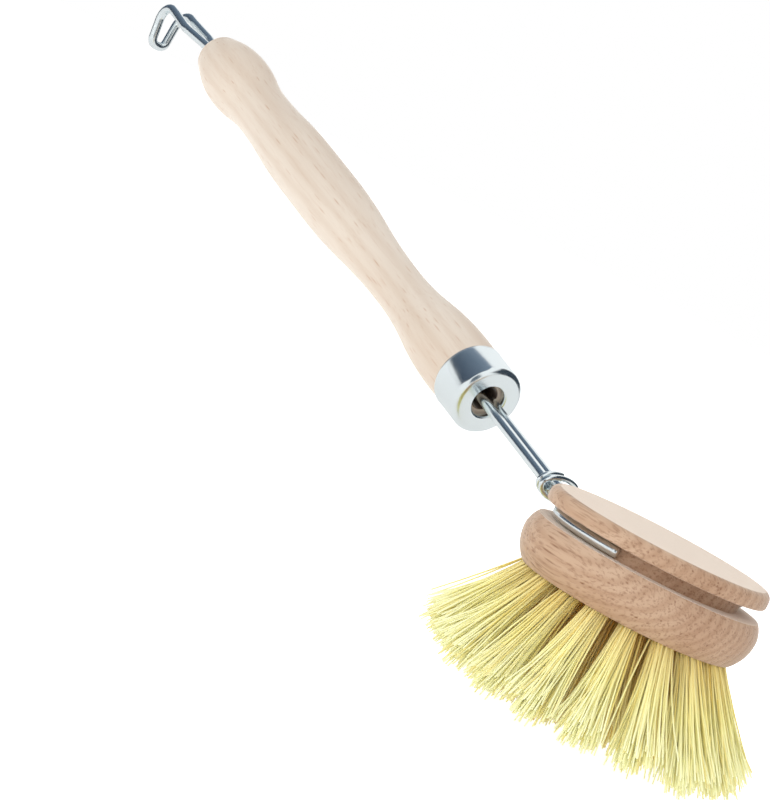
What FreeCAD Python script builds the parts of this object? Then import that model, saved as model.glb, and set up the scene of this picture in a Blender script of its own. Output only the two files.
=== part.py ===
import FreeCAD, Part
import math
import os
import types
import Sketcher

# Dish brush: a turned beech handle with a plated ferrule, one bent wire that is hanging hook, neck
# and fork in one, a sliding lock ring, and a round beech head set with tufts of plant fibre.
# Frame: +Z up along the head's axis, the handle towards -X, tuft tips on z = 0.

Vector = FreeCAD.Vector
Rotation = FreeCAD.Rotation
Placement = FreeCAD.Placement

SIZES = {
    # head, heights from its underside
    "head_radius": 22.7,
    "back_radius": 21.4,
    "under_radius": 20.4,
    "shoulder_radius": 19.8,
    "groove_depth": 4.2,
    "belly_height": 5.6,
    "flange_height": 8.8,
    "groove_clear": 0.3,
    "back_thick": 3.1,
    "back_edge_round": 1.2,
    "groove_edge_round": 0.6,
    # tufts, each ring with its place on the underside, its splay and its tip's radius
    "tuft_reach": 21.7,
    "hole_radius": 2.0,
    "hole_depth": 7.0,
    "drill_point": 1.1,
    "root_clear": 0.05,
    "outer_ring": 17.5,
    "outer_splay_angle": 32.0,
    "outer_tip": 3.6,
    "middle_ring": 10.9,
    "middle_splay_angle": 21.0,
    "middle_tip": 3.3,
    "inner_ring": 5.2,
    "inner_splay_angle": 10.0,
    "inner_tip": 3.0,
    "centre_tip": 2.8,
    # anchor strips that hold the folded fibres in their holes
    "anchor_thick": 0.4,
    "anchor_high": 1.7,
    "anchor_fold": 0.8,
    "anchor_clear": 0.03,
    # wire frame: fork and neck
    "wire_radius": 1.0,
    "arm_clear": 0.2,
    "arm_end_angle": 113.0,
    "neck_length": 34.15,
    "neck_gap": 2.8,
    "head_tilt": 14.35,
    "flare_run": 7.65,
    "flare_half": 1.45,
    "flare_bend": 20.0,
    "entry_half": 4.0,
    "entry_outset": 3.4,
    "entry_bend": 10.0,
    # wire frame: hanging hook, heights beyond the handle's end
    "exit_half": 1.05,
    "exit_height": 1.4,
    "exit_bend": 6.0,
    "eye_half": 3.6,
    "eye_height": 11.0,
    "eye_drop": 0.6,
    "eye_bend": 4.0,
    "top_half": 2.75,
    "top_run": 6.5,
    "top_start_drop": 1.05,
    "top_height": 24.5,
    "top_drop": 1.45,
    "top_bend": 3.2,
    "tip_half": 1.75,
    "tip_back": 2.9,
    "tip_drop": 9.9,
    "tip_bend": 1.65,
    # lock ring, wound round the neck
    "ring_wire_radius": 0.55,
    "ring_half_wide": 4.35,
    "ring_half_high": 2.4,
    "ring_lift": 0.25,
    "ring_pitch": 1.55,
    "ring_past_flare": 0.65,
    # ferrule
    "ferrule_radius": 7.35,
    "ferrule_wall": 0.45,
    "ferrule_length": 8.5,
    "ferrule_round": 1.3,
    "ferrule_hole": 3.4,
    "ferrule_lip": 1.2,
    "ferrule_fit": 0.03,
    # handle, lengths from the ferrule's front
    "handle_end": 134.2,
    "bore_radius": 2.55,
    "front_swell": 7.27,
    "front_swell_at": 12.7,
    "front_step": 7.16,
    "waist": 5.13,
    "waist_at": 39.2,
    "grip": 6.92,
    "grip_front_at": 74.2,
    "grip_rear_at": 86.2,
    "rear_neck": 5.98,
    "rear_neck_at": 108.7,
    "bulb": 7.27,
    "bulb_at": 122.2,
    "bulb_end": 5.3,
    "bulb_end_inset": 1.5,
    "end_face": 3.8,
}
OUTER_TUFTS = 18
MIDDLE_TUFTS = 12
INNER_TUFTS = 6
CENTRE_TUFTS = 1
TUFT_COUNTS = {
    "outer": OUTER_TUFTS,
    "middle": MIDDLE_TUFTS,
    "inner": INNER_TUFTS,
    "centre": CENTRE_TUFTS,
}
RING_QUARTERS = 7

doc = FreeCAD.newDocument("dish_brush")
sheet = doc.addObject("Spreadsheet::Sheet", "Sizes")
for row, (alias, value) in enumerate(SIZES.items(), start=1):
    sheet.set("A%d" % row, alias)
    sheet.set("B%d" % row, str(value))
    sheet.setAlias("B%d" % row, alias)
doc.recompute()


class Size:
    # a number with the sheet formula that it comes from
    def __init__(self, number, text):
        self.number = number
        self.text = text

    def __add__(self, other):
        return Size(self.number + other.number, "(%s + %s)" % (self.text, other.text))

    def __sub__(self, other):
        return Size(self.number - other.number, "(%s - %s)" % (self.text, other.text))

    def __mul__(self, factor):
        return Size(self.number * factor, "(%s * %s)" % (self.text, factor))

    def __truediv__(self, other):
        return Size(self.number / other.number, "(%s / %s)" % (self.text, other.text))

    def scaled(self, other):
        return Size(self.number * other.number, "(%s * %s)" % (self.text, other.text))

    def sine(self):
        return Size(math.sin(math.radians(self.number)), "sin(%s * 1 deg)" % self.text)

    def cosine(self):
        return Size(math.cos(math.radians(self.number)), "cos(%s * 1 deg)" % self.text)


s = types.SimpleNamespace()
for alias in SIZES:
    setattr(s, alias, Size(float(sheet.get(alias)), "Sizes." + alias))
zero = Size(0.0, "0")


def middle(first, second):
    return ((first[0] + second[0]) * 0.5, (first[1] + second[1]) * 0.5)


def new_body(label):
    body = doc.addObject("PartDesign::Body", label)
    body.Label = label
    return body


def origin_feature(body, role):
    return [item for item in body.Origin.OriginFeatures if item.Role == role][0]


def new_sketch(body, name):
    sketch = body.newObject("Sketcher::SketchObject", name)
    sketch.AttachmentSupport = [(origin_feature(body, "XZ_Plane"), "")]
    sketch.MapMode = "FlatFace"
    return sketch


def bind_point(sketch, geo, pos, corner):
    for kind, length, axis in (("DistanceX", corner[0], -2), ("DistanceY", corner[1], -1)):
        if length is zero:
            sketch.addConstraint(Sketcher.Constraint("PointOnObject", geo, pos, axis))
            continue
        index = sketch.addConstraint(Sketcher.Constraint(kind, -1, 1, geo, pos, length.number))
        sketch.setExpression("Constraints[%d]" % index, length.text)


def draw_profile(sketch, corners, bows=None):
    # a closed outline through the corners, straight except where a side bows to its right
    bows = bows or {}
    points = [Vector(across.number, up.number, 0) for across, up in corners]
    count = len(points)
    starts = []
    ends = []
    for index in range(count):
        start = points[index]
        end = points[(index + 1) % count]
        forward = True
        if index in bows:
            chord = end - start
            right = Vector(chord.y, -chord.x, 0).normalize()
            crown = (start + end) * 0.5 + right * bows[index]
            geo = sketch.addGeometry(Part.Arc(start, crown, end), False)
            forward = sketch.getPoint(geo, 1).distanceToPoint(start) < chord.Length / 2.0
        else:
            geo = sketch.addGeometry(Part.LineSegment(start, end), False)
        starts.append((geo, 1 if forward else 2))
        ends.append((geo, 2 if forward else 1))
    for index in range(count):
        joint = ends[index] + starts[(index + 1) % count]
        sketch.addConstraint(Sketcher.Constraint("Coincident", *joint))
    for index, corner in enumerate(corners):
        bind_point(sketch, *starts[index], corner)


def revolve(body, sketch, name):
    turned = body.newObject("PartDesign::Revolution", name)
    turned.Profile = sketch
    turned.ReferenceAxis = (sketch, ["V_Axis"])
    turned.Angle = 360.0
    body.Tip = turned


def quarter_bow(radius):
    # height of a quarter circle over its chord
    return radius.number * (1.0 - math.sqrt(0.5))


def tangent_bow(first, second):
    # height over its chord of an arc that starts along the axis at the first corner
    run = abs(second[1].number - first[1].number)
    rise = abs(second[0].number - first[0].number)
    radius = (run * run + rise * rise) / (2.0 * rise)
    return radius * (1.0 - math.cos(math.asin(run / radius) / 2.0))


# Levels of the head, and the handle's own frame: up to the back, sideways, along towards the hook
under_z = s.tuft_reach.number
groove_width = (s.wire_radius + s.groove_clear) * 2
core_radius = s.back_radius - s.groove_depth
flare_start = s.neck_length.number - s.flare_run.number
groove_z = under_z + s.flange_height.number + groove_width.number / 2.0
tilt = math.radians(s.head_tilt.number)
back_along = Vector(-math.cos(tilt), 0, math.sin(tilt))
neck_joint = Vector(-s.back_radius.number - s.neck_gap.number, 0, groove_z)
ferrule_front = neck_joint + back_along * s.neck_length.number
handle_place = Placement(ferrule_front, Rotation(Vector(0, 1, 0), s.head_tilt.number - 90.0))


def make_head():
    # the flange that holds the tufts, below the groove
    body = new_body("head_block")
    sketch = new_sketch(body, "head_profile")
    belly = (s.head_radius, s.belly_height)
    under_edge = (s.under_radius, zero)
    shoulder = (s.shoulder_radius, s.flange_height)
    corners = [(zero, zero), under_edge, belly, shoulder, (zero, s.flange_height)]
    bows = {
        1: tangent_bow(belly, under_edge),
        2: tangent_bow(belly, shoulder),
    }
    draw_profile(sketch, corners, bows)
    revolve(body, sketch, "head_turned")
    doc.recompute()
    for ring, count in TUFT_COUNTS.items():
        drill_ring(body, ring, count)
    body.Placement = Placement(Vector(0, 0, under_z), Rotation())
    return body


def make_head_back():
    # the groove's core and the disc over it, of one grain with the flange
    body = new_body("head_back")
    sketch = new_sketch(body, "head_back_profile")
    groove_top = s.flange_height + groove_width
    top = groove_top + s.back_thick
    corners = [
        (zero, s.flange_height),
        (core_radius, s.flange_height),
        (core_radius, groove_top),
        (s.back_radius - s.groove_edge_round, groove_top),
        (s.back_radius, groove_top + s.groove_edge_round),
        (s.back_radius, top - s.back_edge_round),
        (s.back_radius - s.back_edge_round, top),
        (zero, top),
    ]
    bows = {
        3: quarter_bow(s.groove_edge_round),
        5: quarter_bow(s.back_edge_round),
    }
    draw_profile(sketch, corners, bows)
    revolve(body, sketch, "head_back_turned")
    body.Placement = Placement(Vector(0, 0, under_z), Rotation())
    return body


def ring_radius(ring):
    return zero if ring == "centre" else getattr(s, ring + "_ring")


def ring_splay(ring):
    return zero if ring == "centre" else getattr(s, ring + "_splay_angle")


def drill_ring(body, ring, count):
    # one slanted blind hole with a drill point, repeated round the head
    sketch = new_sketch(body, ring + "_hole_profile")
    splay = ring_splay(ring)
    start_x = ring_radius(ring) + s.hole_depth.scaled(splay.sine())
    start_y = zero - s.hole_depth.scaled(splay.cosine())
    lean = Rotation(Vector(0, 0, 1), splay.number)
    sketch.AttachmentOffset = Placement(Vector(start_x.number, start_y.number, 0), lean)
    sketch.setExpression("AttachmentOffset.Base.x", start_x.text)
    sketch.setExpression("AttachmentOffset.Base.y", start_y.text)
    sketch.setExpression("AttachmentOffset.Rotation.Angle", splay.text)
    deep = s.hole_depth * 2
    corners = [
        (zero, zero),
        (s.hole_radius, zero),
        (s.hole_radius, deep),
        (zero, deep + s.drill_point),
    ]
    draw_profile(sketch, corners)
    hole = body.newObject("PartDesign::Groove", ring + "_hole")
    hole.Profile = sketch
    hole.ReferenceAxis = (sketch, ["V_Axis"])
    hole.Angle = 360.0
    body.Tip = hole
    if count == 1:
        return
    pattern = body.newObject("PartDesign::PolarPattern", ring + "_holes")
    pattern.Originals = [hole]
    pattern.Axis = (origin_feature(body, "Z_Axis"), [""])
    pattern.Angle = 360.0
    pattern.Occurrences = count
    body.Tip = pattern


def tuft_place(ring, index, count):
    # origin at the fibres' fold in the hole, Z out along the tuft
    lean = Rotation(Vector(0, 1, 0), 180.0 - ring_splay(ring).number)
    mouth = Vector(ring_radius(ring).number, 0, under_z)
    fold = mouth - lean.multVec(Vector(0, 0, s.hole_depth.number))
    around = Rotation(Vector(0, 0, 1), 360.0 * index / count)
    return Placement(Vector(), around).multiply(Placement(fold, lean))


def make_tuft(ring, index, count):
    label = "tuft_%s_%02d" % (ring, index + 1) if count > 1 else "tuft_" + ring
    body = new_body(label)
    sketch = new_sketch(body, label + "_profile")
    root = s.hole_radius - s.root_clear
    tip = getattr(s, ring + "_tip")
    mouth = s.hole_depth
    end = s.hole_depth + s.tuft_reach
    if count > 1:
        splay = ring_splay(ring)
        mouth = s.hole_depth + s.hole_radius.scaled(splay.sine() / splay.cosine())
        end = s.hole_depth + (s.tuft_reach - tip.scaled(splay.sine())) / splay.cosine()
    corners = [(zero, zero), (root, zero), (root, mouth), (tip, end), (zero, end)]
    draw_profile(sketch, corners)
    revolve(body, sketch, label + "_bundle")
    slot = new_sketch(body, label + "_slot")
    draw_slot(slot)
    cut = body.newObject("PartDesign::Pocket", label + "_anchor_slot")
    cut.Profile = slot
    cut.Type = "ThroughAll"
    cut.Midplane = True
    body.Tip = cut
    body.Placement = tuft_place(ring, index, count)
    return body


def draw_slot(sketch):
    # a rectangle about the tuft's axis, where the anchor strip crosses the fibres
    half = s.anchor_thick * 0.5 + s.anchor_clear
    low = s.anchor_fold
    high = s.anchor_fold + s.anchor_high + s.anchor_clear * 2
    corners = [
        Vector(-half.number, low.number, 0),
        Vector(half.number, low.number, 0),
        Vector(half.number, high.number, 0),
        Vector(-half.number, high.number, 0),
    ]
    for index in range(4):
        sketch.addGeometry(Part.LineSegment(corners[index], corners[(index + 1) % 4]), False)
    for index in range(4):
        sketch.addConstraint(Sketcher.Constraint("Coincident", index, 2, (index + 1) % 4, 1))
    for index, kind in ((0, "Horizontal"), (1, "Vertical"), (3, "Vertical")):
        sketch.addConstraint(Sketcher.Constraint(kind, index))
    sketch.addConstraint(Sketcher.Constraint("Symmetric", 2, 1, 2, 2, -2))
    bind_point(sketch, 0, 2, (half, low))
    height = sketch.addConstraint(Sketcher.Constraint("DistanceY", -1, 1, 2, 1, high.number))
    sketch.setExpression("Constraints[%d]" % height, high.text)


def make_anchor(ring, index, count):
    strip = doc.addObject("Part::Box", "anchor_%s_%02d" % (ring, index + 1))
    wide = (s.hole_radius - s.root_clear) * 2
    strip.setExpression("Length", s.anchor_thick.text)
    strip.setExpression("Width", wide.text)
    strip.setExpression("Height", s.anchor_high.text)
    low = s.anchor_fold + s.anchor_clear
    corner = Vector(-s.anchor_thick.number / 2.0, -wide.number / 2.0, low.number)
    strip.Placement = tuft_place(ring, index, count).multiply(Placement(corner, Rotation()))
    return strip


def make_ferrule():
    body = new_body("ferrule")
    sketch = new_sketch(body, "ferrule_profile")
    inside = s.ferrule_radius - s.ferrule_wall
    lip = s.ferrule_hole + s.ferrule_wall
    face = s.ferrule_radius - s.ferrule_round
    corners = [
        (s.ferrule_hole, s.ferrule_lip),
        (s.ferrule_hole, s.ferrule_wall),
        (lip, zero),
        (face, zero),
        (s.ferrule_radius, s.ferrule_round),
        (s.ferrule_radius, s.ferrule_length),
        (inside, s.ferrule_length),
        (inside, s.ferrule_round),
        (face, s.ferrule_wall),
        (lip, s.ferrule_wall),
        (lip, s.ferrule_lip),
    ]
    bows = {
        1: quarter_bow(s.ferrule_wall),
        3: quarter_bow(s.ferrule_round),
        7: -quarter_bow(s.ferrule_round - s.ferrule_wall),
    }
    draw_profile(sketch, corners, bows)
    revolve(body, sketch, "ferrule_drawn")
    body.Placement = handle_place
    return body


def make_handle():
    body = new_body("handle")
    sketch = new_sketch(body, "handle_profile")
    seat = s.ferrule_radius - s.ferrule_wall - s.ferrule_fit
    mouth = s.ferrule_hole + s.ferrule_wall + s.ferrule_fit
    front = (s.front_swell, s.front_swell_at)
    step = (s.front_step, s.ferrule_length)
    waist = (s.waist, s.waist_at)
    grip_front = (s.grip, s.grip_front_at)
    grip_rear = (s.grip, s.grip_rear_at)
    neck = (s.rear_neck, s.rear_neck_at)
    bulb = (s.bulb, s.bulb_at)
    bulb_end = (s.bulb_end, s.handle_end - s.bulb_end_inset)
    outline = [
        bulb_end,
        bulb,
        middle(bulb, neck),
        neck,
        middle(neck, grip_rear),
        grip_rear,
        grip_front,
        middle(grip_front, waist),
        waist,
        middle(waist, front),
        front,
        step,
    ]
    inner = [
        (seat, s.ferrule_length),
        (seat, s.ferrule_round),
        (seat - s.ferrule_round + s.ferrule_wall, s.ferrule_wall + s.ferrule_fit),
        (mouth, s.ferrule_wall + s.ferrule_fit),
        (mouth, s.ferrule_lip + s.ferrule_fit),
        (s.bore_radius, s.ferrule_lip + s.ferrule_fit),
        (s.bore_radius, s.handle_end),
        (s.end_face, s.handle_end),
    ]
    bows = {
        0: -tangent_bow(bulb, bulb_end),
        1: -tangent_bow(bulb, outline[2]),
        2: tangent_bow(neck, outline[2]),
        3: tangent_bow(neck, outline[4]),
        4: -tangent_bow(grip_rear, outline[4]),
        6: -tangent_bow(grip_front, outline[7]),
        7: tangent_bow(waist, outline[7]),
        8: tangent_bow(waist, outline[9]),
        9: -tangent_bow(front, outline[9]),
        10: -tangent_bow(front, step),
        13: -quarter_bow(s.ferrule_round - s.ferrule_wall),
        19: -quarter_bow(s.bulb_end_inset),
    }
    draw_profile(sketch, outline + inner, bows)
    revolve(body, sketch, "handle_turned")
    body.Placement = handle_place
    return body


def unit(vector):
    return Vector(vector) * (1.0 / vector.Length)


def bent_path(points, radii):
    # straight runs between the points, joined by tangent arcs of the given bend radii
    edges = []
    start = points[0]
    for index, radius in enumerate(radii, start=1):
        corner = points[index]
        arriving = unit(corner - points[index - 1])
        leaving = unit(points[index + 1] - corner)
        turn = arriving.getAngle(leaving)
        setback = radius * math.tan(turn / 2.0)
        first = corner - arriving * setback
        last = corner + leaving * setback
        inward = unit(leaving - arriving)
        crown = corner + inward * (radius / math.cos(turn / 2.0) - radius)
        edges.append(Part.makeLine(start, first))
        edges.append(Part.Arc(first, crown, last).toShape())
        start = last
    edges.append(Part.makeLine(start, points[-1]))
    return Part.Wire(edges)


def arm_points(side):
    # where one fork arm bends, from its cut end in the groove to the neck, in the head's frame
    reach = core_radius.number + s.arm_clear.number + s.wire_radius.number
    entry = Vector(-reach - s.entry_outset.number, side * s.entry_half.number, groove_z)
    entry_angle = math.atan2(s.entry_half.number, -entry.x)
    touch_angle = entry_angle + math.acos(reach / math.hypot(entry.x, entry.y))
    end_angle = math.radians(s.arm_end_angle.number)

    def around(angle, radius):
        return Vector(-radius * math.cos(angle), side * radius * math.sin(angle), groove_z)

    end = around(end_angle, reach)
    half_turn = (end_angle - touch_angle) / 2.0
    bend = around(touch_angle + half_turn, reach / math.cos(half_turn))
    flare = handle_place.multVec(Vector(0, side * s.flare_half.number, -flare_start))
    cut = end + unit(end - bend) * s.wire_radius.number
    return [cut, bend, entry, flare], [reach, s.entry_bend.number, s.flare_bend.number]


def hook_points(side):
    # where one strand of the hanging hook bends, from the handle's end to the tip
    def strand(half, height, drop):
        along = s.handle_end.number + height.number
        return handle_place.multVec(Vector(-drop.number, side * half.number, along))

    points = [
        strand(s.exit_half, s.exit_height, zero),
        strand(s.eye_half, s.eye_height, s.eye_drop),
        strand(s.top_half, s.top_height - s.top_run, s.top_start_drop),
        strand(s.top_half, s.top_height, s.top_drop),
        strand(s.tip_half, s.top_height - s.tip_back, s.tip_drop),
    ]
    bends = [s.exit_bend, s.eye_bend, s.eye_bend, s.top_bend, s.tip_bend]
    return points, [bend.number for bend in bends]


def make_wire():
    near_arm, arm_bends = arm_points(-1)
    near_hook, hook_bends = hook_points(-1)
    far_arm = arm_points(1)[0]
    far_hook = hook_points(1)[0]
    points = near_arm + near_hook + far_hook[::-1] + far_arm[::-1]
    bends = arm_bends + hook_bends + hook_bends[::-1] + arm_bends[::-1]
    path = doc.addObject("Part::Feature", "wire_path")
    path.Shape = bent_path(points, bends)
    return sweep_wire("wire_frame", path, s.wire_radius, points[1] - points[0])


def sweep_wire(label, path, radius, heading):
    section = doc.addObject("Part::Circle", label + "_section")
    section.setExpression("Radius", radius.text)
    start = path.Shape.OrderedVertexes[0].Point
    section.Placement = Placement(start, Rotation(Vector(0, 0, 1), heading))
    swept = doc.addObject("Part::Sweep", label)
    swept.Label = label
    swept.Sections = [section]
    swept.Spine = (path, ["Edge%d" % (index + 1) for index in range(len(path.Shape.Edges))])
    swept.Solid = True
    swept.Frenet = False
    return swept


def arc_from(start, heading, end):
    # the arc that leaves its start along the heading and runs to its end
    chord = end - start
    along = unit(chord)
    aside = unit(heading - along * heading.dot(along))
    half = heading.getAngle(chord) / 2.0
    crown = (start + end) * 0.5 + aside * (chord.Length / 2.0 * math.tan(half))
    return Part.Arc(start, crown, end).toShape()


def biarc(start, heading, end, arrival):
    # two arcs that join the ends smoothly, with equal tangent lengths
    chord = end - start
    both = heading + arrival
    square = 2.0 * (heading.dot(arrival) - 1.0)
    linear = -2.0 * chord.dot(both)
    length = (-linear - math.sqrt(linear * linear - 4.0 * square * chord.dot(chord))) / (2.0 * square)
    joint = (start + heading * length + end - arrival * length) * 0.5
    return [arc_from(start, heading, joint), arc_from(end, arrival * -1.0, joint)]


def make_lock_ring():
    # an oval winding round both neck wires, up to the back, sideways, along the neck
    def winding(angle):
        wide = s.ring_half_wide.number * math.cos(angle)
        high = s.ring_lift.number + s.ring_half_high.number * math.sin(angle)
        along = -flare_start - s.ring_past_flare.number - s.ring_pitch.number * angle / (2.0 * math.pi)
        return Vector(high, wide, along)

    def heading(angle):
        wide = -s.ring_half_wide.number * math.sin(angle)
        high = s.ring_half_high.number * math.cos(angle)
        return unit(Vector(high, wide, -s.ring_pitch.number / (2.0 * math.pi)))

    edges = []
    for quarter in range(RING_QUARTERS):
        first = math.pi / 2.0 * (quarter + 1)
        last = first + math.pi / 2.0
        edges += biarc(winding(first), heading(first), winding(last), heading(last))
    path = doc.addObject("Part::Feature", "ring_path")
    path.Shape = Part.Wire(Part.__sortEdges__(edges))
    print_coil_gap(path.Shape)
    first = math.pi / 2.0
    ring = sweep_wire("lock_ring", path, s.ring_wire_radius, heading(first))
    ring.Placement = handle_place
    return ring


def print_coil_gap(wire):
    # least clear distance of the winding to itself, between points at least half a turn apart
    points = wire.discretize(Number=240)
    apart = int(240.0 / RING_QUARTERS * 2)
    gaps = [
        points[first].distanceToPoint(points[second])
        for first in range(len(points))
        for second in range(first + apart, len(points))
    ]
    print("lock ring gap to itself %.2f mm" % (min(gaps) - 2.0 * s.ring_wire_radius.number))


def make_anchors():
    strips = [make_anchor(ring, index, count) for ring, count in TUFT_COUNTS.items() for index in range(count)]
    anchors = doc.addObject("Part::Compound", "tuft_anchors")
    anchors.Label = "tuft_anchors"
    anchors.Links = strips
    return anchors


def centre(nodes):
    # origin under the middle of the whole brush
    overall = FreeCAD.BoundBox()
    for node in nodes:
        overall.add(node.Shape.optimalBoundingBox(False, False))
    shift = Vector(-overall.Center.x, -overall.Center.y, -overall.ZMin)
    for node in nodes:
        node.Placement = Placement(shift, Rotation()).multiply(node.Placement)
    print("size %.2f %.2f %.2f" % (overall.XLength, overall.YLength, overall.ZLength))
    print("shift %.4f %.4f %.4f" % tuple(shift))


def print_wire_check(swept):
    # the wire's volume over its section times its length
    path = swept.Spine[0].Shape
    section = math.pi * swept.Sections[0].Radius.Value ** 2
    print("%s volume ratio %.4f" % (swept.Label, swept.Shape.Volume / (section * path.Length)))


def main():
    wire = make_wire()
    ring = make_lock_ring()
    nodes = [make_handle(), make_ferrule(), wire, ring, make_head(), make_head_back(), make_anchors()]
    for ring_name, count in TUFT_COUNTS.items():
        nodes += [make_tuft(ring_name, index, count) for index in range(count)]
    doc.recompute()
    centre(nodes)
    doc.recompute()
    print_wire_check(wire)
    print_wire_check(ring)
    for item in doc.Objects:
        if "Invalid" in item.State or "Error" in item.State:
            raise RuntimeError("failed: " + item.Label)
    for node in nodes:
        if node.Shape.isNull() or not node.Shape.isValid():
            raise RuntimeError("bad shape: " + node.Label)
    os.makedirs("parts", exist_ok=True)
    for node in nodes:
        node.Shape.exportStep("parts/%s.step" % node.Label)
    print(len(nodes), "nodes")


main()
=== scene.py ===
import math
import bmesh
import bpy
from mathutils import Matrix, Vector


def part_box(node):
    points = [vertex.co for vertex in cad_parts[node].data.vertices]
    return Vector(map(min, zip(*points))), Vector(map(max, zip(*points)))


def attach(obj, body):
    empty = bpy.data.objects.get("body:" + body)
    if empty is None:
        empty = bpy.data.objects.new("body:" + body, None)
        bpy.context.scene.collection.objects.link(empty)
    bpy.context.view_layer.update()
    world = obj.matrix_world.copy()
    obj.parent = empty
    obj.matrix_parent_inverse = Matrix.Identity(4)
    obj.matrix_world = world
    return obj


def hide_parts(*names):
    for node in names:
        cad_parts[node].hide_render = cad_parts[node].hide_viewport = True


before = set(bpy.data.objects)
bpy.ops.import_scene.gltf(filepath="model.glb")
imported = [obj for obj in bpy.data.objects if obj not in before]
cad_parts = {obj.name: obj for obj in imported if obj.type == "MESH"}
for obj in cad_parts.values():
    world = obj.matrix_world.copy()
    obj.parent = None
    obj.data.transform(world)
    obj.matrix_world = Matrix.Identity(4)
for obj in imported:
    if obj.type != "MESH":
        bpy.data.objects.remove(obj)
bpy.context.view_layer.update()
mm = 0.001

scene = bpy.context.scene
scene.view_settings.view_transform = "Standard"


def linearColour(hexCode):
    parts = [int(hexCode[start:start + 2], 16) / 255 for start in (1, 3, 5)]
    return [part / 12.92 if part <= 0.04045 else ((part + 0.055) / 1.055) ** 2.4 for part in parts] + [1.0]


# adds one node; an input is a node or socket to link, or a plain value
def addNode(tree, kind, inputs=(), **settings):
    node = tree.nodes.new(kind)
    for name, value in settings.items():
        setattr(node, name, value)
    for key, source in inputs.items() if isinstance(inputs, dict) else enumerate(inputs):
        if isinstance(source, bpy.types.Node):
            source = source.outputs[0]
        if isinstance(source, bpy.types.NodeSocket):
            tree.links.new(source, node.inputs[key])
        elif source is not None:
            node.inputs[key].default_value = source
    return node


def newMaterial(name):
    material = bpy.data.materials.new(name)
    material.use_nodes = True
    material.node_tree.nodes.clear()
    return material, material.node_tree


# colour stops of a ramp, as (place, hex)
def setStops(ramp, stops):
    elements = ramp.color_ramp.elements
    while len(elements) < len(stops):
        elements.new(0.5)
    for element, (place, hexCode) in zip(elements, stops):
        element.position = place
        element.color = linearColour(hexCode)


# two colours, mixed by a factor
def mixColour(tree, factor, first, second, blend="MIX"):
    inputs = {0: factor, 6: first, 7: second}  # the colour mix's own sockets, by number
    return addNode(tree, "ShaderNodeMix", inputs, data_type="RGBA", blend_type=blend).outputs[2]


# where the brush stands in the frame, in mm
brush = {
    "tilt": 14.35,  # handle against the head's back, degrees
    "neckToAxis": 24.2,  # from the head's axis to where the neck's line starts
    "neckLength": 34.15,
    "grooveAboveUnderside": 10.1,
}
headLow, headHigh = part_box("head_block")
headX = (headLow.x + headHigh.x) / 2 / mm
underside = headLow.z / mm
grooveLevel = underside + brush["grooveAboveUnderside"]
tilt = math.radians(brush["tilt"])
alongHandle = Vector((-math.cos(tilt), 0, math.sin(tilt)))
upHandle = Vector((math.sin(tilt), 0, math.cos(tilt)))
sideways = Vector((0, 1, 0))
ferruleFront = Vector((headX - brush["neckToAxis"], 0, grooveLevel)) + alongHandle * brush["neckLength"]
print("frame: head axis at x %.2f mm, ferrule front at x %.2f mm" % (headX, ferruleFront.x))


def handlePoint(up, side, along):
    return (ferruleFront + upHandle * up + sideways * side + alongHandle * along) * mm


def headPoint(out, side, up):
    return Vector((headX + out, side, underside + up)) * mm


def meshPiece(name, points, faces, material, sharpAngle=35):
    mesh = bpy.data.meshes.new(name)
    mesh.from_pydata([tuple(point) for point in points], [], faces)
    work = bmesh.new()
    work.from_mesh(mesh)
    bmesh.ops.recalc_face_normals(work, faces=work.faces)
    work.to_mesh(mesh)
    work.free()
    mesh.polygons.foreach_set("use_smooth", [True] * len(mesh.polygons))
    mesh.set_sharp_from_angle(angle=math.radians(sharpAngle))
    mesh.materials.append(material)
    piece = bpy.data.objects.new(name, mesh)
    scene.collection.objects.link(piece)
    return piece


# an outline of sides, each (corner, bow); a corner is (radius, height), and the side that starts
# there is straight where its bow is 0, and otherwise an arc that stands off to its right
def roundedOutline(sides, steps=10):
    points = []
    for index, (start, bow) in enumerate(sides):
        points.append(start)
        if bow == 0:
            continue
        end = sides[(index + 1) % len(sides)][0]
        across, rise = end[0] - start[0], end[1] - start[1]
        chord = math.hypot(across, rise)
        turn = 4 * math.atan2(2 * abs(bow), chord)
        radius = chord / 2 / math.sin(turn / 2)
        outX, outY = rise / chord * math.copysign(1, bow), -across / chord * math.copysign(1, bow)
        for step in range(1, steps):
            angle = (step / steps - 0.5) * turn
            place = 0.5 + radius * math.sin(angle) / chord
            stand = radius * (math.cos(angle) - math.cos(turn / 2))
            points.append((start[0] + across * place + outX * stand, start[1] + rise * place + outY * stand))
    return points


# bow of an arc that runs along the axis at the first corner
def tangentBow(first, second):
    run, rise = abs(second[1] - first[1]), abs(second[0] - first[0])
    radius = (run * run + rise * rise) / (2 * rise)
    return radius * (1 - math.cos(math.asin(run / radius) / 2))


def quarterBow(radius):
    return radius * (1 - math.sqrt(0.5))


# turns an outline about its axis; it either closes on itself or ends on the axis at both ends
def turned(outline, place, around=112):
    onAxis = outline[0][0] == 0 and outline[-1][0] == 0
    points, rings = [], []
    for radius, height in outline:
        count = 1 if radius == 0 else around
        rings.append([len(points) + step for step in range(count)])
        for step in range(count):
            angle = 2 * math.pi * step / around
            points.append(place(radius * math.cos(angle), radius * math.sin(angle), height))
    pairs = list(zip(rings, rings[1:])) + ([] if onAxis else [(rings[-1], rings[0])])
    faces = []
    for lower, upper in pairs:
        for step in range(around):
            following = (step + 1) % around
            below = [lower[step % len(lower)], lower[following % len(lower)]]
            above = [upper[following % len(upper)], upper[step % len(upper)]]
            faces.append(list(dict.fromkeys(below + above)))  # a triangle where a ring is one point
    return points, faces


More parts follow.
